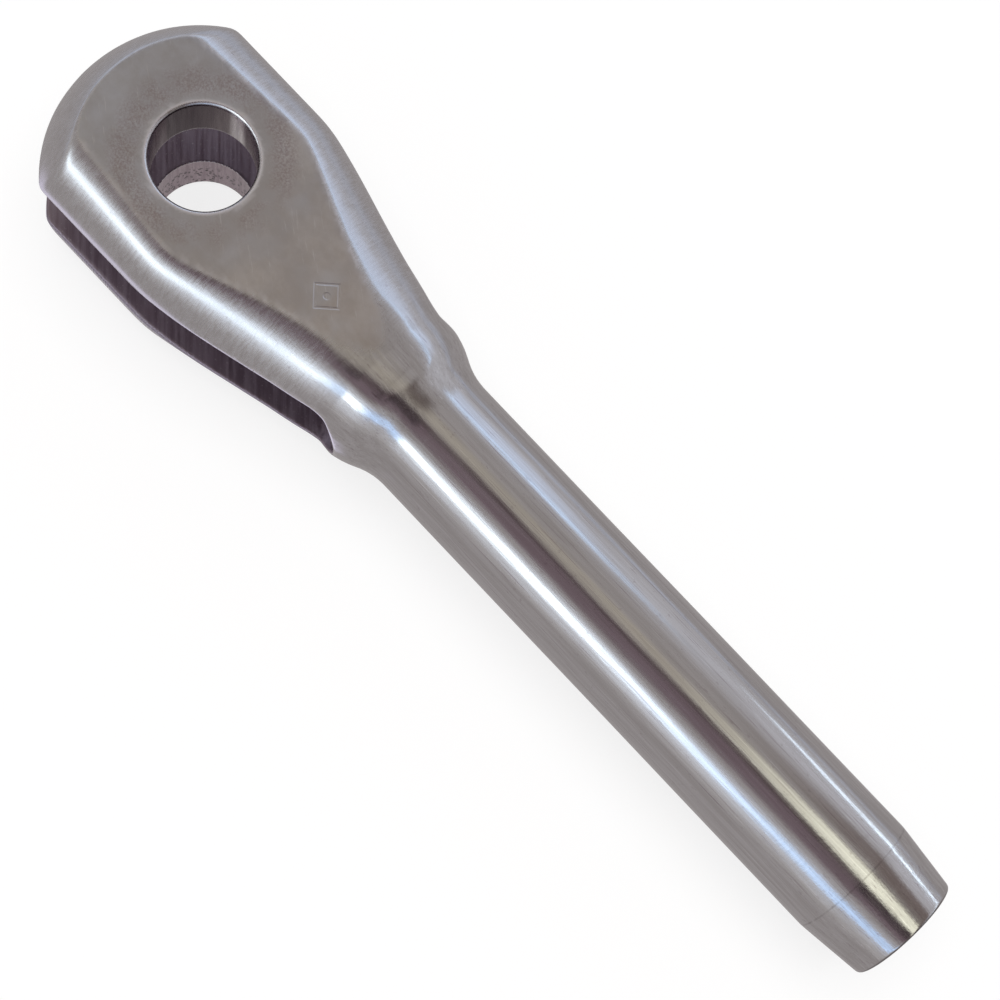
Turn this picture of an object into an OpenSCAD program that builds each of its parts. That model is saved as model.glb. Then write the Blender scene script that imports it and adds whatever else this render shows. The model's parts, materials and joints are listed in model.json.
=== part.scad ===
// Swage fork terminal for 8 mm wire rope. One forged and machined stainless steel piece.
// Origin: centre of the clevis hole, midway between the ears.
// +X runs along the shank to the wire end. +Z is the clevis pin's axis.
// Millimetres.

/* [Shank] */

// Outside diameter of the shank before swaging
shank_od = 16; // [15:0.1:18]
// Distance from the clevis pin's axis to the wire end
end_x = 116; // [110:0.5:150]
// Length of the tapered nose at the wire end
nose_length = 8.3; // [4:0.1:14]
// Outside diameter of the end face
nose_od = 14.1; // [12.5:0.1:14.8]

/* [Wire bore] */

// Diameter of the blind bore that takes the wire rope
bore_d = 8.4; // [5:0.1:9]
// Full-diameter depth of the wire bore from the end face
bore_depth = 73; // [40:1:73]
// Countersink at the bore's mouth
bore_chamfer = 0.5; // [0.2:0.1:1]

/* [Head] */

// Diameter of the head across the ears
head_d = 31.6; // [31:0.1:34]
// Radius of the rounded end, about the clevis pin's axis
cap_r = 19.3; // [18:0.1:24]
// Where the head stops being cylindrical
head_end_x = 5.6; // [3:0.1:8]
// Where the cone meets the collar
collar_x = 29.9; // [28:0.1:31]
// Diameter of the collar behind the slot
collar_d = 20.5; // [20.4:0.1:21]
// Convex radius from the collar into the neck
knee_r = 11.7; // [10:0.1:14]
// Concave radius from the neck into the shank
neck_r = 8.25; // [6:0.05:10]

/* [Ears] */

// Thickness across both ears, at the clevis pin's axis
fork_thickness = 24.6; // [24:0.1:25.2]
// Angle of each outer flat, falling towards the shank
flat_angle = 3.78; // [3.5:0.01:4]
// Width of the slot between the ears
slot_width = 10.6; // [8:0.1:11]
// Where the rounded bottom of the slot ends
slot_end_x = 32.4; // [30:0.1:33]
// Diameter of the clevis hole
pin_hole_d = 12.2; // [10:0.1:13]
// Edge break round the clevis hole
pin_hole_chamfer = 0.3; // [0.2:0.1:0.8]

/* [Hidden] */

$fn = 96;
shank_r = shank_od / 2;
head_r = head_d / 2;
collar_r = collar_d / 2;
nose_r = nose_od / 2;
nose_x = end_x - nose_length;
cap_x = -sqrt(cap_r * cap_r - head_r * head_r);
// The knee's arc and the neck's arc touch, and each is tangent to the straight beside it.
arc_rise = shank_r + neck_r - (collar_r - knee_r);
arc_reach = knee_r + neck_r;
arc_run = sqrt(arc_reach * arc_reach - arc_rise * arc_rise);
neck_end_x = collar_x + arc_run;
touch_x = collar_x + arc_run * knee_r / arc_reach;
touch_r = collar_r - knee_r + arc_rise * knee_r / arc_reach;
slot_r = slot_width / 2;
ear_out = fork_thickness / 2;
pin_hole_r = pin_hole_d / 2;
bore_r = bore_d / 2;
drill_tip = bore_r * tan(30);
wedge_end = collar_x + 20;
reach = 60;

// The head behind the clevis hole: a spherical end cut down to the head's radius.
module head_section() {
    intersection() {
        circle(r = cap_r);
        translate([0, -reach]) square([head_r, reach]);
    }
    polygon([
        [0, 0],
        [head_r, 0],
        [head_r, head_end_x],
        [collar_r, collar_x],
        [0, collar_x]
    ]);
}

// The knee: the part of its circle between the collar and the point where the arcs touch.
module knee_section() {
    intersection() {
        translate([collar_r - knee_r, collar_x]) circle(r = knee_r);
        translate([0, collar_x]) square([collar_r, touch_x - collar_x]);
    }
}

// The concave neck: a block, begun inside the knee, with the neck's circle taken out of it.
module neck_section() {
    difference() {
        translate([0, touch_x - 0.5]) square([touch_r, neck_end_x - touch_x + 0.5]);
        translate([shank_r + neck_r, neck_end_x]) circle(r = neck_r);
    }
}

// The shank runs on inside the neck and the head as a core.
module shank_section() {
    polygon([
        [0, 0],
        [shank_r, 0],
        [shank_r, nose_x],
        [nose_r, end_x],
        [0, end_x]
    ]);
}

// The turned outline, revolved about X.
module turned_body() {
    rotate([0, 90, 0]) rotate_extrude() {
        head_section();
        knee_section();
        neck_section();
        shank_section();
    }
}

// The space kept by the two outer flats. Behind the collar nothing is cut.
module between_flats() {
    fall = tan(flat_angle);
    rotate([90, 0, 0]) linear_extrude(height = 2 * reach, center = true) polygon([
        [-reach, ear_out + fall * reach],
        [wedge_end, ear_out - fall * wedge_end],
        [wedge_end, reach],
        [end_x + reach, reach],
        [end_x + reach, -reach],
        [wedge_end, -reach],
        [wedge_end, fall * wedge_end - ear_out],
        [-reach, -ear_out - fall * reach]
    ]);
}

module slot() {
    rotate([90, 0, 0]) linear_extrude(height = 2 * reach, center = true) union() {
        translate([-reach, -slot_r]) square([reach + slot_end_x - slot_r, slot_width]);
        translate([slot_end_x - slot_r, 0]) circle(r = slot_r);
    }
}

// Edge break round the clevis hole, square to the sloping flat.
module hole_edge() {
    translate([0, 0, ear_out]) rotate([0, flat_angle, 0])
        translate([0, 0, -pin_hole_chamfer])
            cylinder(
                h = 2 * pin_hole_chamfer,
                r1 = pin_hole_r - 0.02,
                r2 = pin_hole_r + 2 * pin_hole_chamfer - 0.02
            );
}

module wire_bore() {
    translate([end_x - bore_depth, 0, 0]) rotate([0, 90, 0])
        cylinder(h = bore_depth + 1, r = bore_r);
    translate([end_x - bore_depth, 0, 0]) rotate([0, -90, 0])
        cylinder(h = drill_tip, r1 = bore_r, r2 = 0);
    translate([end_x - bore_chamfer, 0, 0]) rotate([0, 90, 0])
        cylinder(h = 2 * bore_chamfer, r1 = bore_r, r2 = bore_r + 2 * bore_chamfer);
}

// The whole terminal: ears, neck and shank are one forging.
module fork_terminal() {
    color([0.62, 0.61, 0.6]) difference() {
        intersection() {
            turned_body();
            between_flats();
        }
        slot();
        cylinder(h = 2 * reach, r = pin_hole_r, center = true);
        hole_edge();
        mirror([0, 0, 1]) hole_edge();
        wire_bore();
    }
}

fork_terminal();
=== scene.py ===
"""Swage fork terminal: one polished stainless steel forging on a pale studio floor."""

import json
import math

import bmesh
import bpy
import numpy as np
import openvdb
from mathutils import Matrix, Vector


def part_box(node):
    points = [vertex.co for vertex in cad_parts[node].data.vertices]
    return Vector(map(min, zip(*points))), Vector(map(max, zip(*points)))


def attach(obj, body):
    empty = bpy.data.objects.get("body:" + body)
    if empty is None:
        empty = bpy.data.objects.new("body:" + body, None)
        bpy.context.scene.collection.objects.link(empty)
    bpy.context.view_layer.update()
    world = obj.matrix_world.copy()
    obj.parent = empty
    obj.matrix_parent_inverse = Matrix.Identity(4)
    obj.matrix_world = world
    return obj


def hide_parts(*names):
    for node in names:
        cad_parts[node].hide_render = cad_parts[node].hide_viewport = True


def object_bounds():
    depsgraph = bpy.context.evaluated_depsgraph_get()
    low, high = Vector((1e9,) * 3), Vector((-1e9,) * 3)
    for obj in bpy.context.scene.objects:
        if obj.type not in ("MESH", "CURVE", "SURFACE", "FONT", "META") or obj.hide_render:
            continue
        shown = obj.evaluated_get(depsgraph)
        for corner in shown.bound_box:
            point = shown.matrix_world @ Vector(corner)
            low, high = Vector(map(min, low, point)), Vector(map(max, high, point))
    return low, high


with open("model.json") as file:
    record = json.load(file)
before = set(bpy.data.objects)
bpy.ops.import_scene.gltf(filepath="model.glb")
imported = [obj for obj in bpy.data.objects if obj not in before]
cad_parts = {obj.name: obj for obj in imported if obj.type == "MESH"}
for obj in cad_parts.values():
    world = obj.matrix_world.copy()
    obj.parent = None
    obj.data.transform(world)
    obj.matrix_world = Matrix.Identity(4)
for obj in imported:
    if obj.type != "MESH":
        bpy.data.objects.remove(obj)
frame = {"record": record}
cad_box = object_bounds()

MM = 0.001
low, high = (np.array(c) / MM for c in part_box("fork_terminal"))
mounts = {m["name"]: m for m in frame["record"]["mounts"]}

# ---------------------------------------------------------------- sizes, in millimetres
# The origin is the middle of the clevis hole, X runs along the shank and Z is the clevis pin's axis.
END_X = float(high[0])  # the nose's end face
NOSE_X = END_X - 8.3  # where the nose's taper starts
NOSE_R = 7.05
SHANK_R = 8.0
CAP_R = 19.3  # the round end of the ears
HEAD_R = 15.8
HEAD_END = 5.6  # where the head's cylinder turns into its cone
COLLAR_X = 29.9  # where the cone rolls over into the neck
COLLAR_R = 10.25
KNEE_R = 11.7  # the rounding of the collar
NECK_R = 8.25  # the hollow between the collar and the shank
EAR_OUT = 12.3  # the flats' height over the clevis hole
FALL = math.radians(3.78)  # the flats' slope towards the neck
SLOT_R = 5.3  # half the slot's width, and its round bottom
SLOT_END = 32.4
HOLE_R = mounts["clevis_bore"]["dims"]["r_mm"]
HOLE_EDGE = 0.3  # chamfer
BORE_R = mounts["wire_bore"]["dims"]["r_mm"]
BORE_START = END_X - 73.0
BORE_EDGE = 0.5  # chamfer
TABLE_STEP = 0.05  # along x, for the outline's tables
GRID = 0.62  # the first mesh's quads
MARGIN = 3  # quads round the part


# ---------------------------------------------------------------- the solid, as a signed distance
def smax(a, b, k):
    """The larger of two, with the corner between them rounded over about k."""
    h = np.maximum(k - np.abs(a - b), 0) / k
    return np.maximum(a, b) + h * h * k / 4


def step(x, lo, hi):
    """0 at lo, 1 at hi, smooth between."""
    t = np.clip((x - lo) / (hi - lo), 0, 1)
    return t * t * (3 - 2 * t)


def eased(table, sigma):
    """A table blurred along x, so its corners round over."""
    t = np.arange(-5 * sigma, 5 * sigma + 0.01, TABLE_STEP)
    w = np.exp(-0.5 * (t / sigma) ** 2)
    half = len(w) // 2
    padded = np.pad(table, half, mode="edge")
    return np.convolve(padded, w / w.sum(), mode="same")[half : half + len(table)]


def profile():
    """The turned outline: x, its radius and its slope, with the corners eased by polishing."""
    x = np.arange(-30, END_X + 20, TABLE_STEP)
    r = np.full_like(x, HEAD_R)
    cone = (x - HEAD_END) / (COLLAR_X - HEAD_END)
    r = np.where(cone > 0, HEAD_R + (COLLAR_R - HEAD_R) * cone, r)
    # The knee's arc and the neck's arc touch between their two centres.
    rise = SHANK_R + NECK_R - (COLLAR_R - KNEE_R)
    reach = KNEE_R + NECK_R
    run = math.sqrt(reach * reach - rise * rise)
    neck_end = COLLAR_X + run
    touch = COLLAR_X + run * KNEE_R / reach
    knee = COLLAR_R - KNEE_R + np.sqrt(np.maximum(KNEE_R**2 - (x - COLLAR_X) ** 2, 0))
    neck = SHANK_R + NECK_R - np.sqrt(np.maximum(NECK_R**2 - (x - neck_end) ** 2, 0))
    r = np.where(x > COLLAR_X, knee, r)
    r = np.where(x > touch, neck, r)
    r = np.where(x > neck_end, SHANK_R, r)
    r = np.where(x > NOSE_X, SHANK_R + (NOSE_R - SHANK_R) * (x - NOSE_X) / (END_X - NOSE_X), r)
    # The corner at HEAD_END is the softest.
    soft = step(x, -4, 0) * step(x, 16, 11)
    r = eased(r, 0.25) * (1 - soft) + eased(r, 1.4) * soft
    return x, r, np.gradient(r, x)


def level_at(x):
    """The flat's height over the axis. It runs out where the neck starts."""
    return EAR_OUT - math.tan(FALL) * x + 0.6 * np.maximum(x - 33.0, 0)


def section(x, r, share):
    """The radius and middle of the head's side arc at each x.

    The arc runs from a soft corner at the flat, where it has turned through share of the angle that a plain
    circle would have there, and comes down to touch the turned outline at the tilt.
    """
    level = np.minimum(level_at(x), r)
    # Polishing leaves the flats narrower along the cone.
    narrowing = 1.3 * step(x, 4, 19) * step(x, 29, 22)
    reach = np.sqrt(r * r - level * level) - narrowing
    start = np.arccos(level / r) * share
    tilt = math.radians(13.3)
    gap = r - math.cos(tilt) * reach - math.sin(tilt) * level
    arc = gap / (1 - math.cos(tilt) * np.sin(start) - math.sin(tilt) * np.cos(start))
    # Towards the collar the flat's width runs out abruptly, so the tables are blurred there.
    mix = step(x, 18, 26)
    table = []
    for part in (arc, reach - arc * np.sin(start), level - arc * np.cos(start)):
        table.append(part * (1 - mix) + eased(part, 1.8) * mix)
    table[0] = table[0] + mix * (r - eased(r, 1.8))
    return table


TABLE_X, TABLE_R, TABLE_SLOPE = profile()
FRONT = section(TABLE_X, TABLE_R, 0.38)  # the -Y side
BACK = section(TABLE_X, TABLE_R, 0.62)  # the +Y side
rng = np.random.default_rng(7)
WAVES = [
    (rng.uniform(0.06, 0.2), rng.uniform(0.5, 1.3), rng.uniform(0, 6.28), rng.uniform(0, 6.28))
    for _ in range(9)
]


def waves(x, y, z):
    """Hand polishing leaves the outside very slightly wavy, mostly along the shank."""
    turn = np.arctan2(y, z) * 8
    out = 0
    for along, round_, a, b in WAVES:
        out = out + np.sin(along * x + a) * np.sin(round_ * turn + b)
    return out * 0.004


def look_up(x, table):
    return np.interp(x, TABLE_X, table)


def parts_of(x, y, z):
    """Signed distances of the features. The solid is where all of them are negative."""
    rho = np.hypot(y, z)
    slope = look_up(x, TABLE_SLOPE)
    away = np.abs(z)
    arc, mid_y, mid_z = (
        np.where(y < 0, look_up(x, front), look_up(x, back)) for front, back in zip(FRONT, BACK)
    )
    out_y = np.abs(y) - mid_y
    out_z = away - mid_z
    side = np.hypot(np.maximum(out_y, 0), np.maximum(out_z, 0))
    side = side + np.minimum(np.maximum(out_y, out_z), 0)
    # Between the two arcs the section domes up, clear of the flat.
    side = side + 0.3 * np.minimum(out_y, 0) * step(mid_y, 0.0, 3.0)
    side = (side - arc) / np.sqrt(1 + slope * slope)
    cap = np.hypot(np.minimum(x, 0), rho) - CAP_R
    side = smax(side, cap, 0.5) + waves(x, y, z)
    side = smax(side, x - END_X, 0.5)
    flat = (away - level_at(x)) * math.cos(FALL)
    xz = np.where(x < SLOT_END - SLOT_R, away, np.hypot(x - (SLOT_END - SLOT_R), z))
    slot = SLOT_R - xz
    around = np.hypot(x, y)
    hole = HOLE_R - around
    edge = (HOLE_R + HOLE_EDGE + flat - around) / math.sqrt(2)
    mouth = (BORE_R + BORE_EDGE - (END_X - x) - rho) / math.sqrt(2)
    # The wire bore ends in the drill's point.
    wire = -np.maximum(rho - BORE_R, (BORE_START - x) / 2 + rho * math.sqrt(0.75) - BORE_R * 0.87)
    return side, flat, slot, hole, edge, wire, mouth


def surfaces(side, flat, slot, hole, edge, wire, mouth):
    """The features gathered by finish: outside, slot, clevis hole and wire bore, in the materials' order."""
    return [np.maximum(side, flat), slot, np.maximum(hole, edge), np.maximum(wire, mouth)]


def flat_rounding(x):
    """How far the flat's edge is rounded over: crisp on the head, softer at the neck."""
    return 0.3 + 1.2 * step(x, 24.0, 31.0)


def solid(p):
    """The whole part's signed distance at an array of points."""
    x, y, z = p[..., 0], p[..., 1], p[..., 2]
    side, flat, slot, hole, edge, wire, mouth = parts_of(x, y, z)
    out = smax(side, flat, flat_rounding(x))
    out = smax(out, slot, 0.5)
    holes = smax(hole, edge, 0.12)
    out = smax(out, holes, 0.12)
    return smax(out, smax(wire, mouth, 0.1), 0.15)


def slopes(p, e=0.01):
    """The distance's gradient, which points out of the solid."""
    g = np.empty_like(p)
    for i in range(3):
        d = np.zeros(3)
        d[i] = e
        g[..., i] = solid(p + d) - solid(p - d)
    return g / (2 * e)


def settle(p, rounds=4):
    """Moves points onto the surface and returns them with their normals."""
    for _ in range(rounds):
        g = slopes(p)
        p = p - (solid(p) / np.maximum((g * g).sum(-1), 0.2))[:, None] * g
    g = slopes(p)
    return p, g / np.linalg.norm(g, axis=-1, keepdims=True)


# ---------------------------------------------------------------- the mesh
def build_mesh(name, size=GRID, levels=3, bend=12.5):
    """Quads of one size over the solid, split again wherever they bend by more than so many degrees."""
    start = low - MARGIN * size
    count = np.ceil((high - low) / size).astype(int) + 2 * MARGIN + 1
    axes = [start[i] + size * np.arange(count[i]) for i in range(3)]
    field = solid(np.stack(np.meshgrid(*axes, indexing="ij"), -1))
    band = MARGIN * size
    grid = openvdb.FloatGrid(band)
    grid.copyFromArray(np.clip(field, -band, band).astype(np.float32))
    points, quads = grid.convertToQuads(isovalue=0.0)
    points = np.asarray(points, float) * size + start
    mesh = bpy.data.meshes.new(name)
    points, normals = settle(points)
    mesh.from_pydata((points * MM).tolist(), [], np.asarray(quads).tolist())
    for level in range(levels):
        bm = bmesh.new()
        bm.from_mesh(mesh)
        # Each level lets a little more bend through, and leaves edges that are short for it whole.
        limit = math.cos(math.radians(bend * (1 + 0.35 * level)))
        short = size * MM * 0.5**level * 0.6 if level else 0.0
        rough = set()
        for f in bm.faces:
            corners = normals[[v.index for v in f.verts]]
            if (corners @ corners.T).min() < limit:
                rough.update(e.index for e in f.edges if e.calc_length() > short)
        bm.edges.ensure_lookup_table()
        edges = [bm.edges[i] for i in sorted(rough)]
        bmesh.ops.subdivide_edges(bm, edges=edges, cuts=1, use_grid_fill=True)
        # Two quads that share two edges would triangulate to a doubled face.
        pinched = [v for v in bm.verts if len(v.link_edges) == 2]
        bmesh.ops.dissolve_verts(bm, verts=pinched)
        bm.to_mesh(mesh)
        bm.free()
        places = np.empty(len(mesh.vertices) * 3)
        mesh.vertices.foreach_get("co", places)
        points, normals = settle(places.reshape(-1, 3) / MM)
        mesh.vertices.foreach_set("co", (points * MM).ravel())
    mesh.update()
    return mesh, points, normals


def paint_layer(mesh, name, value):
    layer = mesh.attributes.new(name, "FLOAT", "POINT")
    layer.data.foreach_set("value", value.astype(np.float32))


def paint_masks(mesh, points):
    """flatness is 1 on the flats and 0 on the turned outside. The edge layer is 1 along every edge; the
    materials paint highlights and shade along it.
    """
    parts = parts_of(*points.T)
    side, flat, slot = parts[:3]
    paint_layer(mesh, "flatness", step(flat - side, -0.04, 0.06))
    found = surfaces(*parts)
    second = np.sort(found, axis=0)[-2]
    crease = step(np.minimum(side, flat), -0.14, -0.01) * step(points[:, 0], 26.0, 20.0)
    lip = step(slot, -0.75, -0.2) * step(found[0], -0.15, -0.03)
    paint_layer(mesh, "edge_highlight_and_shade", np.maximum.reduce([crease, lip, step(second, -0.32, -0.02)]))


def give_finishes(mesh):
    """Each face takes the material of the surface it lies on."""
    centres = np.empty(len(mesh.polygons) * 3)
    mesh.polygons.foreach_get("center", centres)
    parts = parts_of(*(centres.reshape(-1, 3) / MM).T)
    mesh.polygons.foreach_set("material_index", np.argmax(surfaces(*parts), axis=0))
    mesh.polygons.foreach_set("use_smooth", np.ones(len(mesh.polygons), bool))


mesh, points, normals = build_mesh("fork_terminal_surface")
paint_masks(mesh, points)
give_finishes(mesh)
mesh.normals_split_custom_set_from_vertices(normals.tolist())


# ---------------------------------------------------------------- materials
class Nodes:
    """A short way to write a node tree."""

    def __init__(self, tree):
        self.tree = tree
        tree.nodes.clear()

    def add(self, kind, inputs=None, **settings):
        node = self.tree.nodes.new(kind)
        for key, v in settings.items():
            setattr(node, key, v)
        for key, v in (inputs or {}).items():
            self.set(node.inputs[key], v)
        return node

    def set(self, socket, v):
        if isinstance(v, bpy.types.NodeSocket):
            self.tree.links.new(v, socket)
        elif isinstance(v, bpy.types.Node):
            self.tree.links.new(v.outputs[0], socket)
        else:
            socket.default_value = v

    def math(self, op, a, b=0.0):
        return self.add("ShaderNodeMath", {0: a, 1: b}, operation=op).outputs[0]

    def plus(self, a, b):
        return self.math("ADD", a, b)

    def times(self, a, b):
        return self.math("MULTIPLY", a, b)

    def from_to(self, a, b):
        """How far a is from b."""
        return self.math("ABSOLUTE", self.math("SUBTRACT", a, b))

    def length(self, a, b):
        return self.math("SQRT", self.plus(self.math("POWER", a, 2), self.math("POWER", b, 2)))

    def fit(self, v, a, b, lo=0.0, hi=1.0):
        """lo where v is a, hi where v is b, smooth between."""
        return self.add(
            "ShaderNodeMapRange",
            {"Value": v, "From Min": a, "From Max": b, "To Min": lo, "To Max": hi},
            interpolation_type="SMOOTHSTEP",
        ).outputs[0]

    def mix(self, t, a, b):
        node = self.add("ShaderNodeMix", data_type="RGBA")
        self.set(node.inputs[0], t)
        self.set(node.inputs[6], a)
        self.set(node.inputs[7], b)
        return node.outputs[2]

    def blend(self, t, a, b):
        """The same as mix, for numbers."""
        return self.add("ShaderNodeMix", {0: t, 2: a, 3: b}, data_type="FLOAT").outputs[0]

    def split(self, v):
        return self.add("ShaderNodeSeparateXYZ", {0: v}).outputs

    def layer(self, name):
        return self.add("ShaderNodeAttribute", attribute_name=name).outputs["Fac"]

    def noise(self, where, scale, detail=3.0, rough=0.5):
        return self.add(
            "ShaderNodeTexNoise",
            {"Vector": where, "Scale": scale, "Detail": detail, "Roughness": rough},
        ).outputs[0]

    def stretch(self, where, scale):
        return self.add("ShaderNodeMapping", {"Vector": where, "Scale": scale}).outputs[0]

    def turned(self, where, angle):
        return self.add("ShaderNodeMapping", {"Vector": where, "Rotation": (0, 0, angle)}).outputs[0]


def rgb(r, g, b):
    return (r, g, b, 1.0)


def steel(name, paint):
    """A steel material. paint sets its colour, roughness and bump from object coordinates in millimetres."""
    mat = bpy.data.materials.new(name)
    mat.use_nodes = True
    n = Nodes(mat.node_tree)
    out = n.add("ShaderNodeOutputMaterial")
    shader = n.add("ShaderNodeBsdfPrincipled", {"Metallic": 1.0})
    n.set(out.inputs[0], shader)
    where = n.stretch(n.add("ShaderNodeTexCoord").outputs["Object"], (1000, 1000, 1000))
    paint(n, shader, where)
    return mat


def satin(n, where, x, y, blotch, mottle):
    """The flats: satin, faintly stained, with painted bluish sheen patches and a pinkish speckled ring where
    the pin's washer rubs.
    """
    tone = n.plus(n.times(blotch, 0.65), n.times(mottle, 0.35))
    drift = n.fit(n.plus(x, n.times(blotch, 30)), 6.0, 40.0)
    dull = n.mix(drift, rgb(0.48, 0.47, 0.48), rgb(0.54, 0.495, 0.465))
    fresh = n.mix(drift, rgb(0.57, 0.57, 0.59), rgb(0.64, 0.60, 0.57))
    colour = n.mix(n.fit(tone, 0.36, 0.64), dull, fresh)
    # Painted sheen: light bluish patches that stand in for reflections.
    painted_sheen = n.fit(n.noise(where, 0.17, 2.0, 0.5), 0.48, 0.70, 0.0, 0.35)
    colour = n.mix(painted_sheen, colour, rgb(0.66, 0.68, 0.73))
    scratch = n.noise(n.stretch(n.turned(where, 0.6), (0.05, 1.0, 1.0)), 3.0, 3.0, 0.7)
    colour = n.mix(n.fit(scratch, 0.62, 0.72, 0.0, 0.5), colour, rgb(0.74, 0.73, 0.73))
    washer_r, washer_half = 8.9, 2.6
    ring = n.fit(n.from_to(n.length(x, y), washer_r), washer_half, 0.4)
    speckle = n.fit(n.noise(where, 4.4, 4.0, 0.75), 0.38, 0.62)
    ring = n.times(ring, n.times(speckle, n.fit(blotch, 0.36, 0.52)))
    return n.mix(n.times(ring, 0.62), colour, rgb(0.32, 0.235, 0.24))


def polish(n, x, head, lines, hairs, rings, pebble, mottle):
    """The turned outside: polished along the shank, with hairlines, and brushed round the head."""
    colour = n.mix(n.fit(lines, 0.32, 0.68), rgb(0.57, 0.555, 0.55), rgb(0.66, 0.65, 0.655))
    colour = n.mix(n.fit(hairs, 0.57, 0.68), colour, rgb(0.47, 0.435, 0.445))
    colour = n.mix(n.fit(hairs, 0.42, 0.32), colour, rgb(0.72, 0.71, 0.72))
    brushed = n.mix(n.fit(rings, 0.35, 0.65), rgb(0.575, 0.56, 0.56), rgb(0.66, 0.65, 0.66))
    colour = n.mix(head, colour, brushed)
    colour = n.mix(n.fit(pebble, 0.62, 0.74, 0.0, 0.5), colour, rgb(0.42, 0.38, 0.39))
    # A turning line where the nose's taper starts.
    line = n.fit(n.from_to(x, NOSE_X), 0.16, 0.04)
    line = n.times(line, n.fit(mottle, 0.35, 0.65, 0.05, 0.4))
    return n.mix(line, colour, rgb(0.2, 0.18, 0.18))


def painted_edge_light_and_shade(n, colour, x, z, edge_highlight_and_shade):
    """Painted highlights along the edges, apart from the lower ear's, painted shade along the lower ear's
    slot lip, and a painted dark rim of shade at the nose's end.
    """
    # Painted highlight: edges brightened, weaker round the cap's end and fading out towards the lower ear.
    highlight_share = n.times(n.fit(x, -11.0, -9.0, 0.2, 0.85), n.fit(z, -5.0, 3.0))
    colour = n.mix(n.times(edge_highlight_and_shade, highlight_share), colour, rgb(0.97, 0.955, 1.0))
    # Painted shade: the lower ear's slot lip darkened.
    lip = n.times(edge_highlight_and_shade, n.fit(n.math("ABSOLUTE", n.plus(z, 5.4)), 1.4, 0.7, 0.0, 0.9))
    colour = n.mix(lip, colour, rgb(0.13, 0.10, 0.12))
    # Painted shade: a dark rim round the nose's end.
    return n.mix(n.fit(x, END_X - 0.35, END_X - 0.15, 0.0, 0.8), colour, rgb(0.12, 0.10, 0.10))


def punch(n, x, y, z):
    """A small generic diamond with a dot, lightly punched into the upper flat."""
    u = n.from_to(x, 20.6)
    v = n.from_to(y, -0.4)
    outline = n.from_to(n.plus(u, v), 1.9)
    shape = n.math("MAXIMUM", n.fit(outline, 0.26, 0.08), n.fit(n.length(u, v), 0.5, 0.3))
    return n.times(shape, n.fit(z, 8.0, 8.5))


def outside(n, shader, where):
    flat = n.layer("flatness")
    x, y, z = n.split(where)
    blotch = n.noise(where, 0.13, 4.0, 0.6)
    mottle = n.noise(where, 0.8, 5.0, 0.7)
    grain = n.noise(where, 7.0, 2.0, 0.6)
    pebble = n.noise(n.stretch(where, (0.5, 1.0, 1.0)), 2.2, 3.0, 0.6)
    lines = n.noise(n.stretch(where, (0.04, 1.0, 1.0)), 1.6, 4.0, 0.6)
    hairs = n.noise(n.stretch(where, (0.02, 1.0, 1.0)), 4.2, 4.0, 0.7)
    rings = n.noise(n.stretch(where, (1.0, 0.12, 0.12)), 5.5, 3.0, 0.7)
    head = n.fit(x, 33.0, 22.0)

    turned = polish(n, x, head, lines, hairs, rings, pebble, mottle)
    colour = n.mix(flat, turned, satin(n, where, x, y, blotch, mottle))
    n.set(shader.inputs["Base Color"], painted_edge_light_and_shade(n, colour, x, z, n.layer("edge_highlight_and_shade")))

    rough_shank = n.fit(hairs, 0.35, 0.65, 0.12, 0.2)
    rough_head = n.fit(rings, 0.3, 0.7, 0.22, 0.31)
    rough_flat = n.fit(mottle, 0.3, 0.7, 0.31, 0.42)
    rough_side = n.blend(head, rough_shank, rough_head)
    n.set(shader.inputs["Roughness"], n.blend(flat, rough_side, rough_flat))

    # Bump heights, in millimetres. The nose is the most wrinkled.
    wrinkles = n.noise(n.stretch(n.turned(where, 0.3), (1.6, 0.5, 0.5)), 2.0, 3.0, 0.6)
    height = n.plus(n.times(lines, 0.016), n.times(grain, 0.003))
    for pattern, depth in (
        (pebble, n.fit(flat, 0, 1, 0.006, 0.003)),
        (hairs, n.fit(head, 0, 1, 0.0035, 0.0)),
        (rings, n.fit(head, 0, 1, 0.0, 0.002)),
        (wrinkles, n.fit(x, 84.0, 106.0, 0.0, 0.020)),
    ):
        height = n.plus(height, n.times(pattern, depth))
    height = n.math("SUBTRACT", height, n.times(punch(n, x, y, z), 0.09))
    bump = n.add("ShaderNodeBump", {"Height": height, "Strength": 0.6, "Distance": 0.001})
    n.set(shader.inputs["Normal"], bump)


def slot_wall(n, shader, where):
    """Sawn and dull. The dark base colour is partly that finish and partly painted shade in the slot, with a
    painted highlight on the upper edge and painted shade on the lower one.
    """
    z = n.split(where)[2]
    edge_highlight_and_shade = n.layer("edge_highlight_and_shade")
    lines = n.noise(n.stretch(n.turned(where, 0.74), (0.05, 1.0, 1.0)), 2.6, 4.0, 0.6)
    specks = n.noise(where, 4.0, 3.0, 0.7)
    # The dark purple base is partly painted shade between the ears.
    colour = n.mix(n.fit(lines, 0.3, 0.7), rgb(0.31, 0.25, 0.29), rgb(0.42, 0.355, 0.40))
    colour = n.mix(n.fit(specks, 0.62, 0.70), colour, rgb(0.62, 0.58, 0.60))
    # Painted highlight along the upper ear's edge.
    colour = n.mix(n.times(edge_highlight_and_shade, n.fit(z, -1.0, 1.0)), colour, rgb(0.97, 0.95, 0.97))
    # Painted shade along the lower ear's edge.
    colour = n.mix(n.times(edge_highlight_and_shade, n.fit(z, -1.0, -4.0, 0.0, 0.8)), colour, rgb(0.12, 0.09, 0.11))
    n.set(shader.inputs["Base Color"], colour)
    n.set(shader.inputs["Roughness"], n.fit(lines, 0.3, 0.7, 0.35, 0.5))


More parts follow.
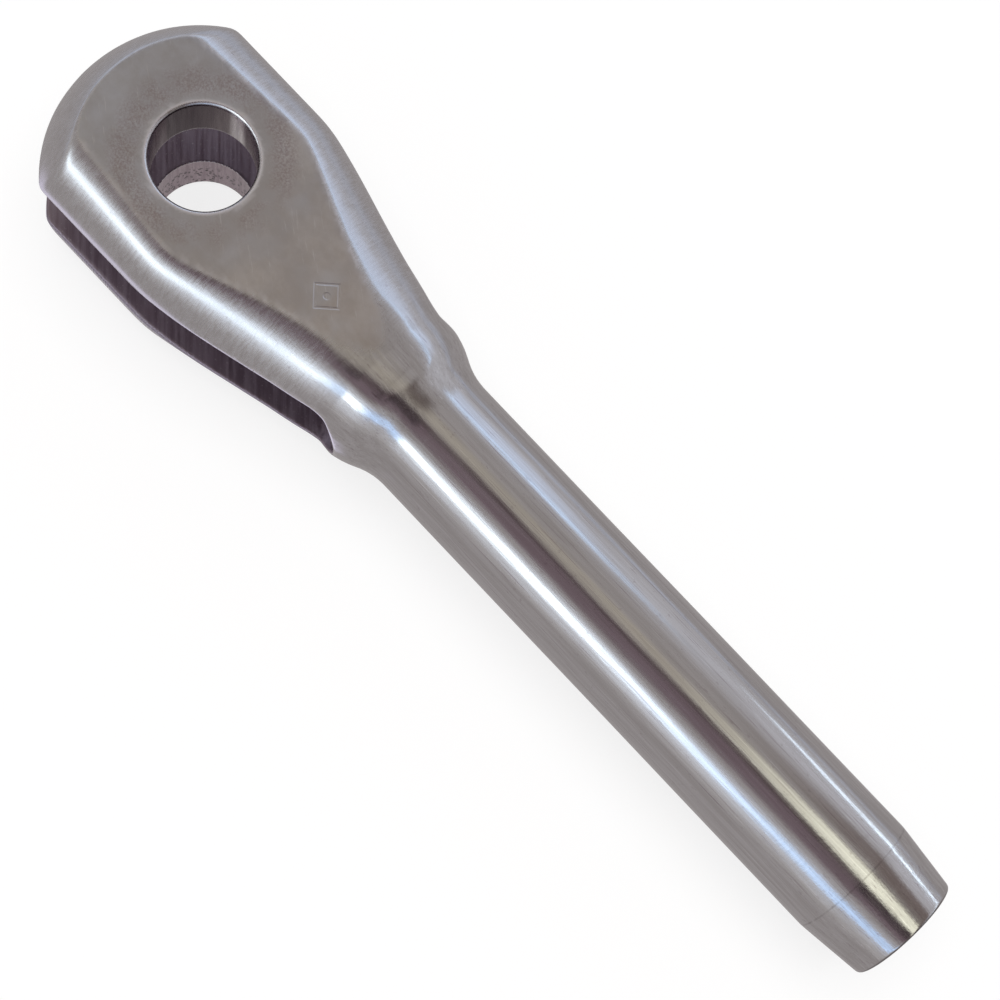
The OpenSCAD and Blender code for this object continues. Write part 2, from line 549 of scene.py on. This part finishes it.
def hole_wall(n, shader, where):
    """The upper ear's wall is painted dark with shade that changes round the hole, and one painted
    highlight, a glint. The lower ear's is pinkish and pitted.
    """
    x, y, z = n.split(where)
    lines = n.noise(n.stretch(where, (1.0, 1.0, 0.06)), 2.4, 4.0, 0.6)
    turn = n.times(n.math("ARCTAN2", y, x), 180 / math.pi)
    # Painted shade round the upper ear's wall, changing with the angle round the hole.
    upper = n.mix(n.fit(turn, 150, 105), rgb(0.07, 0.045, 0.055), rgb(0.24, 0.20, 0.205))
    upper = n.mix(n.fit(turn, 60, 20), upper, rgb(0.16, 0.12, 0.13))
    upper = n.mix(n.fit(turn, -60, -175), upper, rgb(0.13, 0.085, 0.10))
    # Painted highlight: a glint at about 98 degrees round the hole.
    upper = n.mix(n.fit(n.from_to(turn, 98), 13, 4), upper, rgb(0.97, 0.95, 0.94))
    upper = n.mix(0.35, upper, n.mix(lines, upper, rgb(0.05, 0.03, 0.04)))
    lower = n.mix(n.fit(lines, 0.3, 0.7), rgb(0.36, 0.28, 0.32), rgb(0.55, 0.46, 0.50))
    cells = n.add("ShaderNodeTexVoronoi", {"Vector": where, "Scale": 1.9}).outputs["Distance"]
    pits = n.times(n.fit(cells, 0.40, 0.30), n.fit(n.noise(where, 0.7, 2.0), 0.40, 0.48))
    lower = n.mix(n.times(pits, n.fit(z, -6.5, -8.5)), lower, rgb(0.03, 0.02, 0.025))
    colour = n.mix(n.fit(z, -3.0, 3.0), lower, upper)
    # Painted highlight along the hole's chamfered edges.
    colour = n.mix(n.times(n.layer("edge_highlight_and_shade"), 0.7), colour, rgb(0.92, 0.91, 0.91))
    n.set(shader.inputs["Base Color"], colour)
    n.set(shader.inputs["Roughness"], n.fit(lines, 0.3, 0.7, 0.2, 0.32))


def bore_wall(n, shader, where):
    rings = n.noise(n.stretch(where, (3.0, 0.3, 0.3)), 1.0, 3.0, 0.6)
    n.set(shader.inputs["Base Color"], n.mix(rings, rgb(0.38, 0.36, 0.35), rgb(0.52, 0.50, 0.49)))
    n.set(shader.inputs["Roughness"], n.fit(rings, 0.3, 0.7, 0.3, 0.45))


# In the order that surfaces() gathers them.
for name, paint in (
    ("steel_outside", outside),
    ("steel_slot", slot_wall),
    ("steel_clevis_hole", hole_wall),
    ("steel_wire_bore", bore_wall),
):
    mesh.materials.append(steel(name, paint))

fork = bpy.data.objects.new("fork_terminal_surface", mesh)
bpy.context.scene.collection.objects.link(fork)
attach(fork, "root")
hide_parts("fork_terminal")

# ---------------------------------------------------------------- camera
YAW, PITCH, ROLL = 1.86577, 1.32677, 0.52332  # PITCH is how far it looks down
CAMERA_AT = Vector((0.06772, -0.05949, 0.25173))
fwd = Vector((math.cos(PITCH) * math.cos(YAW), math.cos(PITCH) * math.sin(YAW), -math.sin(PITCH)))
right = Vector((math.sin(YAW), -math.cos(YAW), 0))
up = right.cross(fwd)
across = math.cos(ROLL) * right + math.sin(ROLL) * up
upward = -math.sin(ROLL) * right + math.cos(ROLL) * up
camera = bpy.data.objects.new("camera", bpy.data.cameras.new("camera"))
camera.data.sensor_width = 36
camera.data.lens = 81.43
camera.matrix_world = Matrix.Translation(CAMERA_AT) @ Matrix((across, upward, -fwd)).transposed().to_4x4()
bpy.context.scene.collection.objects.link(camera)
bpy.context.scene.camera = camera


# ---------------------------------------------------------------- floor
def flat_piece(name, corners):
    """One rectangle with an empty node material. Returns the object and the material's nodes."""
    shape = bpy.data.meshes.new(name)
    shape.from_pydata(corners, [], [(0, 1, 2, 3)])
    piece = bpy.data.objects.new(name, shape)
    bpy.context.scene.collection.objects.link(piece)
    finish = bpy.data.materials.new(name)
    finish.use_nodes = True
    shape.materials.append(finish)
    return piece, Nodes(finish.node_tree)


FLOOR_HALF = 4  # metres
FLOOR_Z = cad_box[0][2] - 0.0001
floor, n = flat_piece(
    "floor",
    [
        (-FLOOR_HALF, -FLOOR_HALF, FLOOR_Z),
        (FLOOR_HALF, -FLOOR_HALF, FLOOR_Z),
        (FLOOR_HALF, FLOOR_HALF, FLOOR_Z),
        (-FLOOR_HALF, FLOOR_HALF, FLOOR_Z),
    ],
)
# White paper that glows enough to leave only a faint shadow, and is clear from below.
white = n.add("ShaderNodeBsdfDiffuse", {"Color": rgb(0.9, 0.9, 0.9)})
glow = n.add("ShaderNodeEmission", {"Color": rgb(1.0, 1.0, 1.0)})
seen = n.add("ShaderNodeMixShader", {0: 0.78, 1: white, 2: glow})
below = n.add("ShaderNodeNewGeometry").outputs["Backfacing"]
seen = n.add("ShaderNodeMixShader", {0: below, 1: seen, 2: n.add("ShaderNodeBsdfTransparent")})
# The steel mirrors a grey table, and a cooler room beyond it.
place = n.split(n.add("ShaderNodeTexCoord").outputs["Object"])
beyond = n.fit(n.math("SUBTRACT", place[1], place[0]), 0.05, 0.16)
table = n.add("ShaderNodeEmission", {"Color": n.mix(beyond, rgb(0.395, 0.37, 0.37), rgb(0.52, 0.55, 0.64))})
mirrored = n.add("ShaderNodeLightPath").outputs["Is Glossy Ray"]
paper = n.add("ShaderNodeMixShader", {0: mirrored, 1: seen, 2: table})
n.set(n.add("ShaderNodeOutputMaterial").inputs[0], paper)

# ---------------------------------------------------------------- the room that the steel mirrors
world = bpy.data.worlds.new("studio")
bpy.context.scene.world = world
world.use_nodes = True
n = Nodes(world.node_tree)
direction = n.split(n.add("ShaderNodeTexCoord").outputs["Generated"])
ahead = direction[0]
angle = n.times(n.math("ARCTAN2", direction[1], direction[2]), 180 / math.pi)


def strip(sky, middle, half, soft, colour, strength=1.0):
    """A long soft light or dark flag, parallel to the shank, at so many degrees from +Z towards +Y."""
    return n.mix(n.fit(n.from_to(angle, middle), half + soft, half, 0.0, strength), sky, colour)


# The head's cylinder mirrors what lies furthest back along the shank, and the neck what lies furthest ahead.
on_shank = n.fit(ahead, -0.25, -0.13)
in_neck = n.fit(ahead, 0.13, 0.34, 0.0, 0.85)
sky = rgb(0.395, 0.368, 0.362)
sky = strip(sky, 66, 8, 28, rgb(0.58, 0.575, 0.61))
sky = strip(sky, -78, 12, 22, rgb(0.50, 0.48, 0.48))
sky = strip(sky, -21, 8, 12, rgb(0.20, 0.148, 0.17), on_shank)
sky = strip(sky, -10, 2.5, 4, rgb(0.10, 0.072, 0.078), on_shank)
sky = strip(sky, -14, 5, 7, rgb(0.055, 0.04, 0.045), in_neck)
sky = strip(sky, 4, 3.5, 8, rgb(0.485, 0.445, 0.385))
sky = strip(sky, 70, 45, 15, rgb(0.60, 0.64, 0.74), n.fit(ahead, -0.7, -0.95))
sky = strip(sky, 13, 5, 13, rgb(0.15, 0.12, 0.11), n.fit(ahead, 0.05, 0.55, 0.0, 0.9))
sky = n.mix(n.add("ShaderNodeLightPath").outputs["Is Camera Ray"], sky, rgb(1.0, 1.0, 1.0))
background = n.add("ShaderNodeBackground", {"Color": sky, "Strength": 1.0})
n.set(n.add("ShaderNodeOutputWorld").inputs[0], background)

# ---------------------------------------------------------------- lights
SHANK_TILT = 11.9  # degrees: a surface turned by phi mirrors the direction at 2 phi plus this
BEHIND, BEYOND = -0.5, 0.6  # metres: where the long lights end


def strip_light(name, middle, reach, half, soft, rise, fall, colour, rest=0.0, tint=None):
    """A long soft light beside the part that only shows in reflections.

    It lies reach millimetres off the shank, at middle degrees, half wide and soft at its sides, both in
    degrees. Along the shank it fades in over rise and down to rest over fall, both in millimetres, and takes
    the tint as it fades down.
    """
    beta = math.radians(middle)
    phi = math.radians((middle - SHANK_TILT) / 2)
    core = math.radians(half) * reach
    wide = math.radians(half + soft) * reach
    edge = wide * MM
    corners = [(BEHIND, -edge, 0), (BEYOND, -edge, 0), (BEYOND, edge, 0), (BEHIND, edge, 0)]
    light, n = flat_piece(name, corners)
    away = Vector((0, math.sin(beta), math.cos(beta)))
    sideways = Vector((0, math.cos(beta), -math.sin(beta)))
    centre = (SHANK_R * Vector((0, math.sin(phi), math.cos(phi))) + reach * away) * MM
    turn = Matrix((Vector((1, 0, 0)), sideways, away)).transposed().to_4x4()
    light.matrix_world = Matrix.Translation(centre) @ turn
    light.visible_camera = False
    light.visible_diffuse = False
    light.visible_shadow = False
    place = n.stretch(n.add("ShaderNodeTexCoord").outputs["Object"], (1000, 1000, 1000))
    x, y = n.split(place)[:2]
    cover = n.fit(n.math("ABSOLUTE", y), wide, core)
    along = n.times(n.fit(x, rise[0], rise[1]), n.fit(x, fall[0], fall[1], 1.0, rest))
    if tint:
        colour = n.mix(n.fit(x, fall[0], fall[1]), colour, tint)
    clear = n.add("ShaderNodeBsdfTransparent")
    lit = n.add("ShaderNodeEmission", {"Color": colour})
    shade = n.add("ShaderNodeMixShader", {0: n.times(cover, along), 1: clear, 2: lit})
    n.set(n.add("ShaderNodeOutputMaterial").inputs[0], shade)


NEVER = (400, 500)  # beyond the part
FRONT_IN = (-230, -140)
BACK_IN = (-95, -60)
FRONT_TINT = rgb(1.0, 1.5, 2.3)
strip_light("wash_front", -62, 250, 13, 10, FRONT_IN, (70, 170), rgb(0.78, 0.80, 0.86), 0.35)
strip_light("streak_front", -59, 240, 3.2, 6, FRONT_IN, (55, 150), rgb(2.3, 2.6, 2.8), 0.55, FRONT_TINT)
strip_light("wash_back", 64, 100, 4, 12, BACK_IN, (42, 66), rgb(0.76, 0.84, 1.02))
strip_light("streak_back", 54, 100, 1.0, 4, BACK_IN, (50, 84), rgb(0.92, 1.15, 1.5))
strip_light("glow_lip", -135, 18, 12, 5, (-34, -24), (30, 38), rgb(0.82, 0.78, 0.94))
strip_light("streak_nose", 75, 60, 0.6, 1.6, (84, 104), NEVER, rgb(2.6, 3.1, 3.6))
strip_light("streak_top", 3.5, 25, 7, 7, (74, 119), NEVER, rgb(1.3, 1.3, 1.08))
strip_light("flag_top", 33, 25, 8.5, 9.5, (80, 119), NEVER, rgb(0.22, 0.18, 0.17))

lamp = bpy.data.objects.new("overhead", bpy.data.lights.new("overhead", "AREA"))
lamp.data.shape = "DISK"
lamp.data.size = 1.6
lamp.data.energy = 30
lamp.location = (0, 0, 1.8)
lamp.visible_glossy = False
bpy.context.scene.collection.objects.link(lamp)
bpy.context.scene.view_settings.view_transform = "Standard"
